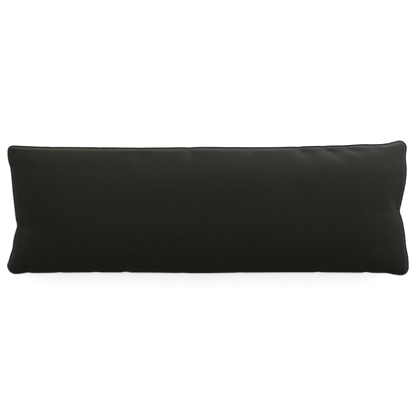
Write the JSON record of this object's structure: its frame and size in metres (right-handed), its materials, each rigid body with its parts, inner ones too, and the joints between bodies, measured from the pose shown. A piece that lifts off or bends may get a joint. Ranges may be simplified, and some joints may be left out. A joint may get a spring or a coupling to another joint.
{
  "type": "back cushion",
  "caption": "Long rectangular back cushion: a crowned, filled fabric body with thin piping round its seam, drawn-in short sides and small round ears at the corners.",
  "frame": {"origin": "under the middle of the cushion, on the surface that it lies on", "axes": "+X along the length, to the right as the face is looked at; +Y up the face; +Z out of the front face, upwards as the cushion lies on its back"},
  "size_m": [1.1993, 0.4045, 0.135],
  "materials": {
    "cover_fabric": "very dark charcoal, fine tight weave, matte with a soft sheen",
    "piping_fabric": "the cover's own fabric, wrapped on the bias round a thin cord"
  },
  "bodies": {
    "root": {"cushion": "cover_fabric", "piping": "piping_fabric"}
  },
  "joints": []
}
